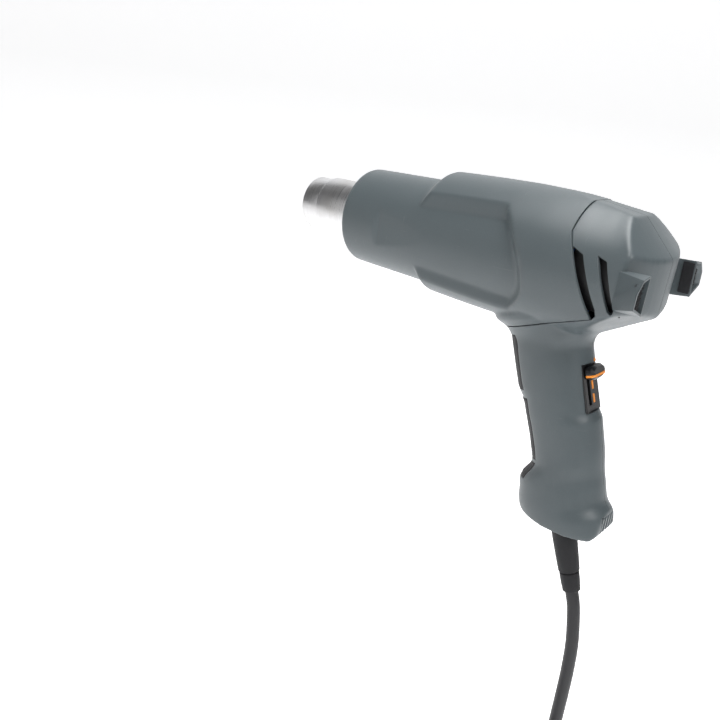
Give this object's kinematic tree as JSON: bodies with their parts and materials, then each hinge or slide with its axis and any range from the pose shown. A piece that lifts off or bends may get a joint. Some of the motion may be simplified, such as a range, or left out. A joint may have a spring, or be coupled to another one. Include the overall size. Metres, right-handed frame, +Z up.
{
  "type": "heat gun",
  "caption": "Pistol-grip heat gun with a stepped steel outlet tube, slide switch, rear air scoops to stand on, soft grip pads and a cord tied in a coil with its plug.",
  "frame": {"origin": "middle of the grip, on the middle plane of the handle", "axes": "-X out of the outlet tube, +X out of the rear cap, +Z up, +Y to the right of a user who holds it; the handle hangs down and back from the barrel"},
  "size_m": [0.2398, 0.206, 0.4003],
  "materials": {
    "grey_housing": "fine textured glass-filled nylon",
    "black_rubber": "matte soft rubber",
    "black_plastic": "satin",
    "orange_plastic": "satin",
    "bright_steel": "drawn stainless steel",
    "ceramic": "fired ceramic",
    "mica": "mica sheet",
    "heater_wire": "resistance wire",
    "circuit_board": "lacquered board",
    "lead_insulation": "extruded insulation"
  },
  "bodies": {
    "housing": {"barrel_housing": "grey_housing", "left_shell": "grey_housing", "right_shell": "grey_housing", "intake_pad_left": "black_rubber", "intake_pad_right": "black_rubber", "front_grip_upper": "black_rubber", "front_grip_lower": "black_rubber", "toe_pad": "black_rubber", "foot_pad": "black_rubber", "strain_relief": "black_rubber", "cord": "black_rubber", "cord_inner_end": "black_rubber", "cord_coil": "black_rubber", "cord_tail": "black_rubber", "plug_body": "black_rubber", "front_ring": "black_plastic", "fan_shroud": "black_plastic", "intake_grille_left": "black_plastic", "intake_grille_right": "black_plastic", "switch_plate": "black_plastic", "switch_body": "black_plastic", "cable_clamp": "black_plastic", "cord_tie": "black_plastic", "capacitor": "black_plastic", "stage_mark_1": "orange_plastic", "stage_mark_2": "orange_plastic", "off_dot": "orange_plastic", "nozzle_tube": "bright_steel", "heat_shield": "bright_steel", "motor_can": "bright_steel", "thermal_cutout": "bright_steel", "plug_pin_1": "bright_steel", "plug_pin_2": "bright_steel", "clamp_screw_1": "bright_steel", "clamp_screw_2": "bright_steel", "housing_screw_1": "bright_steel", "housing_screw_2": "bright_steel", "housing_screw_3": "bright_steel", "housing_screw_4": "bright_steel", "housing_screw_5": "bright_steel", "heater_core": "ceramic", "mica_sleeve": "mica", "heater_flange": "mica", "heater_winding": "heater_wire", "circuit_board": "circuit_board", "lead_wire_1": "lead_insulation", "lead_wire_2": "lead_insulation"},
    "switch": {"switch_knob": "black_plastic", "knob_stripe": "orange_plastic"},
    "fan": {"fan_wheel": "black_plastic", "motor_shaft": "bright_steel"}
  },
  "joints": [
    {"name": "switch_slide", "type": "slide", "parent": "housing", "child": "switch", "axis": [0.3338, 0, -0.9426], "range_m": [0, 0.0152]},
    {"name": "fan_spin", "type": "hinge", "parent": "housing", "child": "fan", "pos_m": [-0.0323, 0, 0.085], "axis": [1, 0, 0], "continuous": true}
  ]
}
